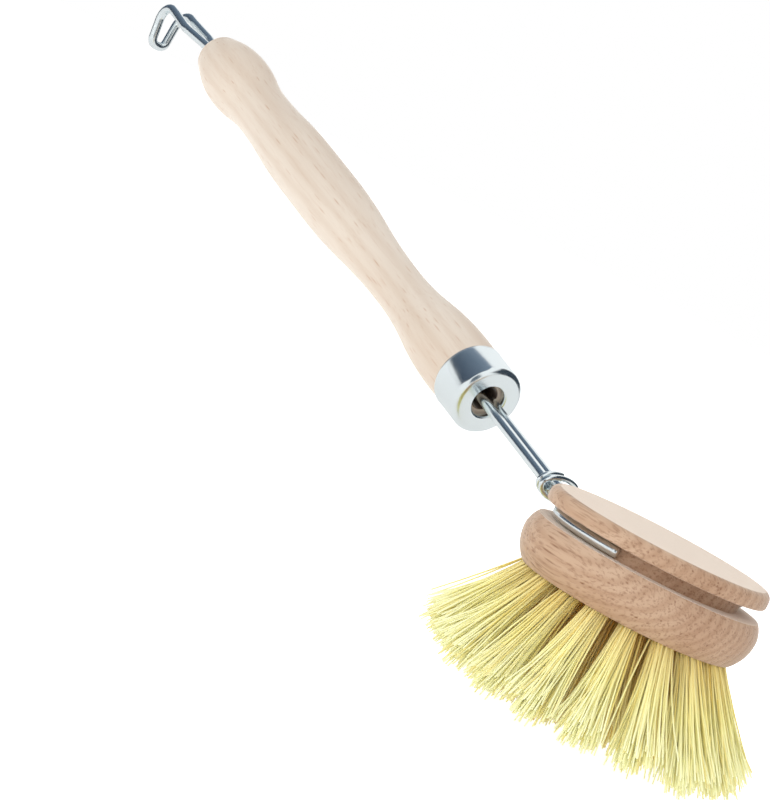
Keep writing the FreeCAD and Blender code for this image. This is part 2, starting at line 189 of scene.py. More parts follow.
# straight runs between points, with tangent arcs of the given bend radii
def bentPath(points, bends, stepAngle=6):
    path = [points[0]]
    for index, bend in enumerate(bends, start=1):
        corner = points[index]
        arriving = (corner - points[index - 1]).normalized()
        leaving = (points[index + 1] - corner).normalized()
        turn = arriving.angle(leaving)
        setback = bend * math.tan(turn / 2)
        centre = corner + (leaving - arriving).normalized() * bend / math.cos(turn / 2)
        first = corner - arriving * setback - centre
        steps = max(2, round(math.degrees(turn) / stepAngle))
        for step in range(steps + 1):
            angle = turn * step / steps
            path.append(centre + first * math.cos(angle) + arriving * bend * math.sin(angle))
    return path + [points[-1]]


# a round wire along a path, with its ends a little rounded
def tube(path, radius, sides=24, endRound=0.55):
    headings = [(after - before).normalized() for before, after in zip(path, path[1:])]
    between = [(first + second).normalized() for first, second in zip(headings, headings[1:])]
    tangents = [headings[0]] + between + [headings[-1]]
    side = tangents[0].orthogonal().normalized()
    rings = []
    for place, tangent in zip(path, tangents):
        side = (side - tangent * side.dot(tangent)).normalized()
        rings.append((place, side.copy(), tangent.cross(side), radius))
    roundDepth = radius * endRound
    start, end = [], []
    for angle in (0, 22, 45, 67):
        depth = roundDepth * (1 - math.sin(math.radians(angle)))
        wide = radius - roundDepth + roundDepth * math.cos(math.radians(angle))
        start.insert(0, (path[0] + tangents[0] * depth,) + rings[0][1:3] + (wide,))
        end.append((path[-1] - tangents[-1] * depth,) + rings[-1][1:3] + (wide,))
    rings = start + rings[1:-1] + end
    points, faces = [], []
    for place, first, second, wide in rings:
        for step in range(sides):
            angle = 2 * math.pi * step / sides
            points.append(place + (first * math.cos(angle) + second * math.sin(angle)) * wide)
    for ring in range(len(rings) - 1):
        for step in range(sides):
            following = (step + 1) % sides
            low, high = ring * sides, (ring + 1) * sides
            faces.append([low + step, low + following, high + following, high + step])
    faces.append(list(range(sides)))
    faces.append(list(range(len(points) - sides, len(points))))
    return points, faces


def evaluatedMesh(piece):
    graph = bpy.context.evaluated_depsgraph_get()
    return bpy.data.meshes.new_from_object(piece.evaluated_get(graph), depsgraph=graph)


# a texture's space, with its unit so wide across the grain and so long along it
def grainSpace(tree, grain, across, along):
    scale = (1 / (across * mm), 1 / (across * mm), 1 / (along * mm))
    return addNode(tree, "ShaderNodeMapping", {"Vector": grain, "Scale": scale})


# Beech, turned and sanded, left bare: a pale pinkish body with fine fibre lines, faint growth
# bands and short thin ray flecks along the grain, all of which show as pores where it is cut across.
# The fibre lines are drawn coarser than the real ones of about 0.1 mm, so that they show.
# A look's lengths are in mm.
def beech(name, look):
    material, tree = newMaterial(name)
    where = addNode(tree, "ShaderNodeTexCoord")
    grain = addNode(tree, "ShaderNodeMapping", {
        "Vector": where.outputs["Object"],
        "Rotation": (0, math.radians(look["grainTurn"]), 0),
    })
    broadSpace = addNode(tree, "ShaderNodeMapping", {"Vector": grain, "Scale": (90, 90, 16)})  # 11 by 60 mm
    broad = addNode(tree, "ShaderNodeTexNoise", {"Vector": broadSpace, "Scale": 1.0, "Detail": 3.0})
    body = addNode(tree, "ShaderNodeValToRGB", {"Fac": broad.outputs["Fac"]})
    setStops(body, ((0.32, look["pale"]), (0.72, look["warm"])))
    bandSpace = addNode(tree, "ShaderNodeMapping", {
        "Vector": grain,
        "Location": [part * mm for part in look["pith"]],
        "Scale": (1, 1, 0.12),  # drawn out along the grain
    })
    bands = addNode(tree, "ShaderNodeTexWave", {
        "Vector": bandSpace,
        "Scale": 0.314 / (look["ringSpacing"] * mm),  # 0.314 is the wave's own period
        "Distortion": 5.0,
        "Detail": 3.0,
        "Detail Scale": 0.5,
    }, wave_type="RINGS", rings_direction="Z")
    bandEdge = addNode(tree, "ShaderNodeMapRange", {
        "Value": bands.outputs["Fac"], "From Min": 0.3, "From Max": 1.0, "To Max": look["bandStrength"],
    })
    colour = mixColour(tree, bandEdge, body, linearColour(look["band"]))
    lines = addNode(tree, "ShaderNodeTexNoise", {
        "Vector": grainSpace(tree, grain, look["lineApart"], look["lineLength"]),
        "Scale": 1.0,
        "Detail": 2.0,
        "Roughness": 0.6,
    })
    lineDepth = addNode(tree, "ShaderNodeMapRange", {
        "Value": lines.outputs["Fac"], "From Min": 0.5, "From Max": 0.72, "To Max": look["lineStrength"],
    })
    colour = mixColour(tree, lineDepth, colour, linearColour(look["fleck"]))
    flecks = addNode(tree, "ShaderNodeTexVoronoi", {
        "Vector": grainSpace(tree, grain, look["fleckApart"], look["fleckLength"]),
        "Scale": 1.0,
        "Randomness": 1.0,
    })
    fleckShape = addNode(tree, "ShaderNodeMapRange", {
        "Value": flecks.outputs["Distance"],
        "From Min": look["fleckWide"],
        "From Max": look["fleckWide"] * 0.45,  # soft edge
    })
    fleckPick = addNode(tree, "ShaderNodeSeparateColor", {"Color": flecks.outputs["Color"]})
    picked = addNode(tree, "ShaderNodeMapRange", {
        "Value": fleckPick.outputs["Red"], "From Min": 0.4, "From Max": 0.9, "To Max": look["fleckStrength"],
    })
    fleck = addNode(tree, "ShaderNodeMath", (fleckShape, picked), operation="MULTIPLY")
    colour = mixColour(tree, fleck, colour, linearColour(look["fleck"]))
    if "back" in look:
        facing = addNode(tree, "ShaderNodeSeparateXYZ", {"Vector": where.outputs["Normal"]}).outputs
        cutAcross = addNode(tree, "ShaderNodeMath", (facing["X"],), operation="ABSOLUTE")
        endGrain = addNode(tree, "ShaderNodeMapRange", {
            "Value": cutAcross, "From Min": 0.2, "From Max": 1.0, "To Max": look["endStrength"],
        })
        colour = mixColour(tree, endGrain, colour, linearColour(look["endTint"]), "MULTIPLY")
        # painted light: the flat back is paled towards the back colour, standing in for the light from above
        # and the low-angle sheen that pale it
        paintedBackLight = addNode(tree, "ShaderNodeMapRange", {
            "Value": facing["Z"], "From Min": 0.97, "From Max": 0.999, "To Max": look["backLightStrength"],
        })
        colour = mixColour(tree, paintedBackLight, colour, linearColour(look["back"]))
    # painted shade: the wood close round the bore is darkened as the hole's own shade would darken it
    if "boreAt" in look:
        flattened = addNode(tree, "ShaderNodeVectorMath", (grain, (1, 1, 0)), operation="MULTIPLY")
        fromAxis = addNode(tree, "ShaderNodeVectorMath", (
            flattened, (look["boreAt"] * mm, 0, 0),
        ), operation="DISTANCE")
        boreShading = addNode(tree, "ShaderNodeMapRange", {
            "Value": fromAxis.outputs["Value"],
            "From Min": look["boreEdge"] * mm,
            "From Max": look["boreWall"] * mm,
        })
        colour = mixColour(tree, boreShading, colour, linearColour(look["boreShade"]))
    pits = addNode(tree, "ShaderNodeMath", (fleck, lineDepth), operation="ADD")
    relief = addNode(tree, "ShaderNodeBump", {
        "Strength": 0.35, "Distance": look["relief"] * mm, "Height": pits,
    }, invert=True)
    shader = addNode(tree, "ShaderNodeBsdfPrincipled", {
        "Base Color": colour,
        "Roughness": look["roughness"],
        "Specular IOR Level": 0.3,
        "IOR": 1.5,
        "Sheen Weight": look["sheen"],  # sanding nap, which pales the wood at a low angle
        "Sheen Roughness": 0.3,
        "Sheen Tint": linearColour("#fffaf2"),
        "Normal": relief,
    })
    addNode(tree, "ShaderNodeOutputMaterial", {"Surface": shader})
    return material


grainTurn = 90 - brush["tilt"]
axisPlace = Matrix.Rotation(math.radians(grainTurn), 3, "Y") @ ferruleFront
handleBeech = beech("handle beech", {
    "grainTurn": grainTurn,
    "boreAt": axisPlace.x,  # where the bore runs, across the grain; the wood round it gets painted shade
    "boreWall": 2.6,
    "boreEdge": 2.9,
    "boreShade": "#4b3a30",
    "pale": "#d8ccbe",
    "warm": "#cbbbaa",
    "band": "#bfa893",
    "bandStrength": 0.25,
    "pith": (21, 12, 0),
    "ringSpacing": 3.4,
    "lineApart": 0.35,
    "lineLength": 7.0,
    "lineStrength": 0.14,
    "fleck": "#b48d70",
    "fleckApart": 0.55,
    "fleckLength": 6.5,
    "fleckWide": 0.3,
    "fleckStrength": 0.6,
    "relief": 0.05,
    "roughness": 0.55,
    "sheen": 1.0,
})
headBeech = beech("head beech", {
    "grainTurn": -90,
    "pale": "#c9ad94",
    "warm": "#b8977c",
    "band": "#a27d61",
    "bandStrength": 0.35,
    "pith": (45, 30, 0),
    "ringSpacing": 2.1,
    "lineApart": 0.42,
    "lineLength": 9.0,
    "lineStrength": 0.6,
    "fleck": "#845c41",
    "fleckApart": 0.75,
    "fleckLength": 7.0,
    "fleckWide": 0.32,
    "fleckStrength": 0.7,
    "endTint": "#d2b296",
    "endStrength": 0.3,
    # the back colour and its strength are painted light on the flat back
    "back": "#eddbc9",
    "backLightStrength": 0.85,
    "relief": 0.3,
    "roughness": 0.62,
    "sheen": 0.5,
})


# Steel, drawn and bright plated: near-white mirror with a cold cast, a little duller in spots.
platedLook = {
    "colour": "#e9f1f3",
    "smoothest": 0.15,
    "roughest": 0.25,
    "wearApart": 1.11,  # mm between the duller spots
}
platedSteel, tree = newMaterial("bright plated steel")
where = addNode(tree, "ShaderNodeTexCoord")
wear = addNode(tree, "ShaderNodeTexNoise", {
    "Vector": where.outputs["Object"], "Scale": 1 / (platedLook["wearApart"] * mm), "Detail": 2.0,
})
polish = addNode(tree, "ShaderNodeMapRange", {
    "Value": wear.outputs["Fac"], "To Min": platedLook["smoothest"], "To Max": platedLook["roughest"],
})
shader = addNode(tree, "ShaderNodeBsdfPrincipled", {
    "Base Color": linearColour(platedLook["colour"]), "Metallic": 1.0, "Roughness": polish,
})
addNode(tree, "ShaderNodeOutputMaterial", {"Surface": shader})

# Steel strip, cut and left bare: dull grey, seen only deep in the tufts.
anchorSteel, tree = newMaterial("bare steel strip")
shader = addNode(tree, "ShaderNodeBsdfPrincipled", {
    "Base Color": linearColour("#9a9a96"), "Metallic": 1.0, "Roughness": 0.4,
})
addNode(tree, "ShaderNodeOutputMaterial", {"Surface": shader})


# Plant fibre, split and combed: stiff straw-coloured strands, a little waxy, paler at the cut tips,
# no two quite alike; browner towards the root, which is painted shade deep in the tuft.
def plantFibre(name, look):
    material, tree = newMaterial(name)
    along = addNode(tree, "ShaderNodeAttribute", attribute_name="fibreAlong")
    tone = addNode(tree, "ShaderNodeAttribute", attribute_name="fibreTone")
    body = addNode(tree, "ShaderNodeValToRGB", {"Fac": along.outputs["Fac"]})
    # the root and low stops are painted shade deep in the tuft
    setStops(body, ((0.0, look["root"]), (0.3, look["low"]), (0.62, look["straw"]), (1.0, look["tip"])))
    shade = addNode(tree, "ShaderNodeValToRGB", {"Fac": tone.outputs["Fac"]})
    setStops(shade, ((0.0, look["dark"]), (0.18, look["dull"]), (0.5, "#ffffff")))
    shader = addNode(tree, "ShaderNodeBsdfPrincipled", {
        "Base Color": mixColour(tree, 1.0, body, shade, "MULTIPLY"),
        "Roughness": 0.55,
        "Specular IOR Level": 0.2,
        "Sheen Weight": 0.8,  # fine splinters that catch the light
        "Sheen Roughness": 0.5,
        "Sheen Tint": linearColour(look["tip"]),
    })
    addNode(tree, "ShaderNodeOutputMaterial", {"Surface": shader})
    return material


outerFibre = plantFibre("pale plant fibre", {
    "root": "#dfb65c",
    "low": "#f4e196",
    "straw": "#fef8b2",
    "tip": "#ffffd2",
    "dark": "#eddeb0",
    "dull": "#fbf5e2",
})
# painted shade: the same fibre, browner and deeper, for the middle and inner tufts that stand in the shade
# of the outer ones
shadedFibre = plantFibre("shaded plant fibre", {
    "root": "#e2a84c",
    "low": "#f4c970",
    "straw": "#fce69a",
    "tip": "#fff9c8",
    "dark": "#e8cc94",
    "dull": "#f7ebce",
})
print("finishes made")


handle = {  # in mm: radii, and distances from the ferrule's front
    "end": 134.2,
    "bore": 2.55,
    "frontSwell": (7.27, 12.7),
    "frontStep": 7.16,
    "waist": (5.13, 39.2),
    "grip": 6.92,
    "gripFrom": 74.2,
    "gripTo": 86.2,
    "rearNeck": (5.98, 108.7),
    "bulb": (7.27, 122.2),
    "bulbEnd": 5.3,
    "endRound": 1.5,
    "endFace": 3.8,
    "fit": 0.03,  # of the ferrule on its seat
    "seatInset": 1.7,
    "boreLand": 1.5,
}
ferrule = {
    "radius": 7.35,
    "wall": 0.45,
    "front": -0.8,  # ahead of the handle's zero
    "length": 8.5,
    "round": 1.3,
    "hole": 3.4,
    "lip": 1.2,
    "rearBead": 0.12,
    "beadLength": 0.48,
}


def halfway(first, second):
    return ((first[0] + second[0]) / 2, (first[1] + second[1]) / 2)


def makeHandle():
    bulb, rearNeck = handle["bulb"], handle["rearNeck"]
    waist, frontSwell = handle["waist"], handle["frontSwell"]
    bulbEnd = (handle["bulbEnd"], handle["end"] - handle["endRound"])
    gripRear, gripFront = (handle["grip"], handle["gripTo"]), (handle["grip"], handle["gripFrom"])
    bulbFall, gripRise = halfway(bulb, rearNeck), halfway(rearNeck, gripRear)
    gripFall, swellRise = halfway(gripFront, waist), halfway(waist, frontSwell)
    seat = ferrule["radius"] - ferrule["wall"] - handle["fit"]
    ferruleRear = ferrule["front"] + ferrule["length"]
    seatFront = ferrule["front"] + handle["seatInset"]
    step = (handle["frontStep"], ferruleRear)
    sides = [
        (bulbEnd, -tangentBow(bulb, bulbEnd)),
        (bulb, -tangentBow(bulb, bulbFall)),
        (bulbFall, tangentBow(rearNeck, bulbFall)),
        (rearNeck, tangentBow(rearNeck, gripRise)),
        (gripRise, -tangentBow(gripRear, gripRise)),
        (gripRear, 0),
        (gripFront, -tangentBow(gripFront, gripFall)),
        (gripFall, tangentBow(waist, gripFall)),
        (waist, tangentBow(waist, swellRise)),
        (swellRise, -tangentBow(frontSwell, swellRise)),
        (frontSwell, -tangentBow(frontSwell, step)),
        (step, 0),
        ((seat, ferruleRear), 0),
        ((seat, seatFront), 0),
        ((handle["bore"] + handle["boreLand"], seatFront), 0),
        ((handle["bore"], seatFront), 0),
        ((handle["bore"], handle["end"]), 0),
        ((handle["endFace"], handle["end"]), -quarterBow(handle["endRound"])),
    ]
    points, faces = turned(roundedOutline(sides), handlePoint)
    return meshPiece("turnedHandle", points, faces, handleBeech)


def makeFerrule():
    outside, wall, rounding = ferrule["radius"], ferrule["wall"], ferrule["round"]
    hole, length, bead = ferrule["hole"], ferrule["length"], ferrule["rearBead"]
    lip, face, inside = hole + wall, outside - rounding, outside - wall
    sides = [
        ((hole, ferrule["lip"]), 0),
        ((hole, wall), quarterBow(wall)),
        ((lip, 0), 0),
        ((face, 0), quarterBow(rounding)),
        ((outside, rounding), 0),
        ((outside, length - ferrule["beadLength"]), bead),
        ((outside - bead, length), 0),
        ((inside, length), 0),
        ((inside, rounding), -quarterBow(rounding - wall)),
        ((face, wall), 0),
        ((lip, wall), 0),
        ((lip, ferrule["lip"]), 0),
    ]
    outline = [(radius, along + ferrule["front"]) for radius, along in roundedOutline(sides)]
    points, faces = turned(outline, handlePoint)
    return meshPiece("drawnFerrule", points, faces, platedSteel)


handlePiece = makeHandle()
ferrulePiece = makeFerrule()
print("handle and ferrule turned")


wire = {  # in mm, the hook's knees in the handle's own directions
    "radius": 1.0,
    "armReach": 18.4,  # wire's middle from the head's axis, in the groove
    "armEnd": 113,  # degrees round from the handle's side
    "flareStart": 26.5,
    "flareHalf": 1.45,
    "flareBend": 20,
    "entryOut": 21.8,
    "entryHalf": 4.0,
    "entryBend": 10,
    "hook": (  # half width, beyond the handle's end, drop, bend radius
        (1.05, 1.4, 0.0, 6.0),
        (3.6, 11.0, 0.6, 4.0),
        (2.75, 18.0, 0.7, 4.0),
        (2.75, 24.5, 0.8, 3.2),
        (1.75, 21.6, 10.2, 1.65),
    ),
}
lockRing = {
    "radius": 0.55,
    "halfWide": 4.6,
    "halfHigh": 2.2,
    "lift": 0.3,  # its middle, above and beside the neck's line
    "aside": 0.4,
    "pitch": 1.15,
    "place": 27.3,
    "turns": 1.75,
    "stepsPerTurn": 72,
}


def armPoints(side):
    reach, half = wire["armReach"], wire["entryHalf"]
    touch = math.atan2(half, wire["entryOut"]) + math.acos(reach / math.hypot(wire["entryOut"], half))
    end = math.radians(wire["armEnd"])

    def around(angle, radius):
        return Vector((headX - radius * math.cos(angle), side * radius * math.sin(angle), grooveLevel)) * mm

    halfTurn = (end - touch) / 2
    bend = around(touch + halfTurn, reach / math.cos(halfTurn))
    cut = around(end, reach)
    cut += (cut - bend).normalized() * wire["radius"] * mm
    entry = Vector((headX - wire["entryOut"], side * half, grooveLevel)) * mm
    flare = handlePoint(0, side * wire["flareHalf"], -wire["flareStart"])
    return [cut, bend, entry, flare]


def hookPoints(side):
    return [
        handlePoint(-drop, side * half, handle["end"] + beyond)
        for half, beyond, drop, bend in wire["hook"]
    ]


def makeWire():
    points = armPoints(-1) + hookPoints(-1) + hookPoints(1)[::-1] + armPoints(1)[::-1]
    bends = [wire["armReach"], wire["entryBend"], wire["flareBend"]] + [knee[3] for knee in wire["hook"]]
    path = bentPath(points, [bend * mm for bend in bends + bends[::-1]], stepAngle=4)
    return meshPiece("bentWire", *tube(path, wire["radius"] * mm), platedSteel)


def makeLockRing():
    path = []
    steps = round(lockRing["turns"] * lockRing["stepsPerTurn"])
    for step in range(steps + 1):
        angle = math.pi / 2 + 2 * math.pi * lockRing["turns"] * step / steps
        up = lockRing["lift"] + lockRing["halfHigh"] * math.sin(angle)
        across = lockRing["aside"] + lockRing["halfWide"] * math.cos(angle)
        path.append(handlePoint(up, across, -lockRing["place"] - lockRing["pitch"] * angle / (2 * math.pi)))
    return meshPiece("lockRing", *tube(path, lockRing["radius"] * mm, sides=16), platedSteel)


wirePiece = makeWire()
ringPiece = makeLockRing()
print("wire bent, lock ring wound")


head = {  # in mm: radii, and heights from the underside
    "radius": 22.7,
    "backRadius": 21.4,
    "underRadius": 20.4,
    "shoulder": 21.5,
    "core": 17.2,
    "belly": 5.6,
    "flange": 8.8,
    "groove": 2.6,
    "back": 3.1,
    "backRound": 1.5,
    "grooveRound": 0.6,
    "shoulderBow": 0.9,  # how round the upper edge is, as a share of a full round
    "underLand": 0.4,  # narrow flats that keep the rounded edges crisp
    "edgeLand": 0.3,
    "holeRadius": 2.0,
    "holeDepth": 7.0,
    "drillPoint": 1.1,
    "drillStart": 6,
    "drillSides": 28,
    "sharpAngle": 30,
}
tuftRings = {  # place on the underside, splay in degrees, tip's radius, how many, fibres in each
    "outer": {"place": 17.5, "splay": 32, "tip": 4.1, "count": 18, "fibres": 150},
    "middle": {"place": 10.9, "splay": 21, "tip": 4.0, "count": 12, "fibres": 130},
    "inner": {"place": 5.2, "splay": 10, "tip": 3.4, "count": 6, "fibres": 110},
    "centre": {"place": 0, "splay": 0, "tip": 2.8, "count": 1, "fibres": 110},
}


# mouth, outward direction and sideways direction of every tuft in a ring
def tuftPlaces(ring):
    splay = math.radians(ring["splay"])
    for index in range(ring["count"]):
        around = 2 * math.pi * index / ring["count"]
        out = Vector((math.cos(around), math.sin(around), 0))
        mouth = headPoint(out.x * ring["place"], out.y * ring["place"], 0)
        axis = out * math.sin(splay) - Vector((0, 0, math.cos(splay)))
        yield mouth, axis, Vector((-out.y, out.x, 0))


def makeHead():
    grooveTop = head["flange"] + head["groove"]
    top = grooveTop + head["back"]
    under, belly = (head["underRadius"], 0), (head["radius"], head["belly"])
    shoulder = (head["shoulder"], head["flange"])
    edge, rounding = head["backRadius"], head["backRound"]
    sides = [
        ((0, 0), 0),
        ((head["underRadius"] - head["underLand"], 0), 0),
        (under, tangentBow(belly, under)),
        (belly, tangentBow(belly, shoulder) * head["shoulderBow"]),
        (shoulder, 0),
        ((head["shoulder"] - head["edgeLand"], head["flange"]), 0),
        ((head["core"], head["flange"]), 0),
        ((head["core"], grooveTop), 0),
        ((edge - head["grooveRound"], grooveTop), quarterBow(head["grooveRound"])),
        ((edge, grooveTop + head["grooveRound"]), 0),
        ((edge, top - rounding), quarterBow(rounding)),
        ((edge - rounding, top), 0),
        ((edge - rounding - head["edgeLand"], top), 0),
        ((0, top), 0),
    ]
    points, faces = turned(roundedOutline(sides), headPoint)
    blank = meshPiece("turnedHead", points, faces, headBeech, head["sharpAngle"])
    drillPoints, drillFaces = [], []
    drillOutline = [
        (0, -head["drillStart"]),
        (head["holeRadius"], -head["drillStart"]),
        (head["holeRadius"], head["holeDepth"]),
        (0, head["holeDepth"] + head["drillPoint"]),
    ]
    for ring in tuftRings.values():
        for mouth, axis, side in tuftPlaces(ring):
            def drilled(across, along, depth):
                return mouth + (side * across + axis.cross(side) * along - axis * depth) * mm
            holePoints, holeFaces = turned(drillOutline, drilled, head["drillSides"])
            drillFaces += [[index + len(drillPoints) for index in face] for face in holeFaces]
            drillPoints += holePoints
    drills = meshPiece("tuftDrills", drillPoints, drillFaces, headBeech)
    cut = blank.modifiers.new("drilled", "BOOLEAN")
    cut.operation = "DIFFERENCE"
    cut.solver = "EXACT"
    cut.object = drills
    blankMesh = blank.data
    blank.data = evaluatedMesh(blank)
    blank.modifiers.clear()
    bpy.data.objects.remove(drills)
    bpy.data.meshes.remove(blankMesh)
    blank.data.set_sharp_from_angle(angle=math.radians(head["sharpAngle"]))
    return blank


headPiece = makeHead()
print("head turned and drilled, %d faces" % len(headPiece.data.polygons))


fibre = {  # in mm; strands are drawn thicker and fewer than the real ones, so that each shows
    "radius": 0.19,
    "tipShare": 0.72,  # how thick a strand still is at its tip, as a share
    "rootRadius": 1.6,
    "depth": 6.0,  # how far the fibres are seen to go into their hole
    "flare": 1.1,  # how much narrower the tuft stays half way
    "bow": 0.7,
    "ragged": 1.1,
    "crossing": 2.7,  # how far aside the most crooked strand ends
    "slope": 0.065,  # how much longer the tufts away from the handle are, as a share
    "lean": 0.05,  # how far a tuft leans to one side or the other
    "leanStep": 7.3,  # radians from tuft to tuft, so that no pattern shows
    "uneven": 0.025,
    "unevenStep": 5.1,
    "dome": 0.13,  # how much shorter a tuft's rim is, as a share of its length
    "points": 6,
    "sides": 5,
}


# from one point for each tuft to all its strands
def fibreTree():
    tree = bpy.data.node_groups.new("tuft of fibres", "GeometryNodeTree")
    sockets = (
        ("Geometry", "NodeSocketGeometry"),
        ("Fibres per tuft", "NodeSocketInt"),
        ("Fibre radius", "NodeSocketFloat"),
        ("Root radius", "NodeSocketFloat"),
        ("Depth in hole", "NodeSocketFloat"),
        ("Flare", "NodeSocketFloat"),
        ("Bow", "NodeSocketFloat"),
        ("Ragged ends", "NodeSocketFloat"),
        ("Crossing", "NodeSocketFloat"),
        ("Dome", "NodeSocketFloat"),
        ("Points along", "NodeSocketInt"),
        ("Sides", "NodeSocketInt"),
        ("Seed", "NodeSocketInt"),
        ("Material", "NodeSocketMaterial"),
    )
    for name, kind in sockets:
        tree.interface.new_socket(name, in_out="INPUT", socket_type=kind)
    tree.interface.new_socket("Geometry", in_out="OUTPUT", socket_type="NodeSocketGeometry")
    given = addNode(tree, "NodeGroupInput").outputs

    def maths(operation, *values):
        return addNode(tree, "ShaderNodeMath", values, operation=operation)

    def vectors(operation, *values):
        return addNode(tree, "ShaderNodeVectorMath", values, operation=operation)

    def scaled(vector, factor):
        return addNode(tree, "ShaderNodeVectorMath", {0: vector, "Scale": factor}, operation="SCALE")

    def named(name, kind="FLOAT_VECTOR"):
        return addNode(tree, "GeometryNodeInputNamedAttribute", {"Name": name}, data_type=kind)

    def stored(geometry, name, value, kind="FLOAT_VECTOR"):
        return addNode(tree, "GeometryNodeStoreNamedAttribute", {
            "Geometry": geometry, "Name": name, "Value": value,
        }, data_type=kind, domain="POINT")

    # each random draw has a seed of its own, so that none follows another
    def seedFor(draw):
        return maths("ADD", given["Seed"], draw)

    def anyWay(draw):
        return addNode(tree, "FunctionNodeRandomValue", {
            0: (-1, -1, -1), 1: (1, 1, 1), "Seed": seedFor(draw),
        }, data_type="FLOAT_VECTOR")

    points = addNode(tree, "GeometryNodeDuplicateElements", {
        "Geometry": given["Geometry"], "Amount": given["Fibres per tuft"],
    }, domain="POINT")
    number = points.outputs["Duplicate Index"]
    axis, side = named("tuftAxis"), named("tuftSide")
    length, spread = named("tuftLength", "FLOAT"), named("tuftSpread", "FLOAT")
    mouth = addNode(tree, "GeometryNodeInputPosition")
    # strands fill the tuft's section as seeds fill a sunflower
    goldenAngle = 2.399963
    share = maths("DIVIDE", maths("ADD", number, 0.5), given["Fibres per tuft"])
    angle = maths("MULTIPLY", number, goldenAngle)
    acrossSide = scaled(side, maths("COSINE", angle))
    acrossOther = scaled(vectors("CROSS_PRODUCT", axis, side), maths("SINE", angle))
    radial = scaled(vectors("ADD", acrossSide, acrossOther), maths("POWER", share, 0.5))
    # root in the hole
    rootAt = vectors("SUBTRACT", mouth, scaled(axis, given["Depth in hole"]))
    root = vectors("ADD", rootAt, scaled(radial, given["Root radius"]))
    # cut tip, on a shallow dome with a ragged edge
    domed = maths("SUBTRACT", 1.0, maths("MULTIPLY", share, given["Dome"]))
    tipAt = vectors("ADD", mouth, scaled(axis, maths("MULTIPLY", length, domed)))
    tipWide = vectors("ADD", tipAt, scaled(radial, spread))
    ragged = vectors("ADD", tipWide, scaled(anyWay(0), given["Ragged ends"]))
    # most strands keep their place, a few end well to one side
    drift = anyWay(17)
    cubed = vectors("MULTIPLY", vectors("MULTIPLY", drift, drift), drift)
    lengthwise = vectors("DOT_PRODUCT", cubed, axis).outputs["Value"]
    aside = vectors("SUBTRACT", cubed, scaled(axis, lengthwise))
    tip = vectors("ADD", ragged, scaled(aside, given["Crossing"]))
    # bow of the strand between them, and how dark it is
    bow = vectors("SUBTRACT", scaled(anyWay(7), given["Bow"]), scaled(radial, given["Flare"]))
    tone = addNode(tree, "FunctionNodeRandomValue", {2: 0.0, 3: 1.0, "Seed": seedFor(13)}, data_type="FLOAT")
    planted = points.outputs["Geometry"]
    for name, value in (("fibreRoot", root), ("fibreTip", tip), ("fibreBow", bow)):
        planted = stored(planted, name, value)
    planted = stored(planted, "fibreTone", tone.outputs[1], "FLOAT")
    # one strand on every point, then drawn from its root to its tip
    line = addNode(tree, "GeometryNodeCurvePrimitiveLine", {"Start": (0, 0, 0), "End": (0, 0, 1)})
    strand = addNode(tree, "GeometryNodeResampleCurve", {"Curve": line, "Count": given["Points along"]})
    placed = addNode(tree, "GeometryNodeInstanceOnPoints", {"Points": planted, "Instance": strand})
    strands = addNode(tree, "GeometryNodeRealizeInstances", {"Geometry": placed})
    along = addNode(tree, "GeometryNodeSplineParameter").outputs["Factor"]
    marked = stored(strands, "fibreAlong", along, "FLOAT")
    straight = addNode(tree, "ShaderNodeMix", {
        0: along, 4: named("fibreRoot"), 5: named("fibreTip"),
    }, data_type="VECTOR").outputs[1]
    swell = maths("MULTIPLY", along, maths("SUBTRACT", 1.0, along))
    arch = maths("MULTIPLY", swell, 4.0)  # 1 half way
    curved = vectors("ADD", straight, scaled(named("fibreBow"), arch))
    drawn = addNode(tree, "GeometryNodeSetPosition", {"Geometry": marked, "Position": curved})
    taper = addNode(tree, "ShaderNodeMapRange", {
        "Value": along, "To Min": 1.0, "To Max": fibre["tipShare"],
    })
    section = addNode(tree, "GeometryNodeCurvePrimitiveCircle", {
        "Resolution": given["Sides"], "Radius": 1.0,
    }, mode="RADIUS")
    solid = addNode(tree, "GeometryNodeCurveToMesh", {
        "Curve": drawn,
        "Profile Curve": section,
        "Scale": maths("MULTIPLY", taper, given["Fibre radius"]),
        "Fill Caps": True,
    })
    smooth = addNode(tree, "GeometryNodeSetShadeSmooth", {"Geometry": solid})
    finished = addNode(tree, "GeometryNodeSetMaterial", {"Geometry": smooth, "Material": given["Material"]})
    addNode(tree, "NodeGroupOutput", {"Geometry": finished})
    return tree


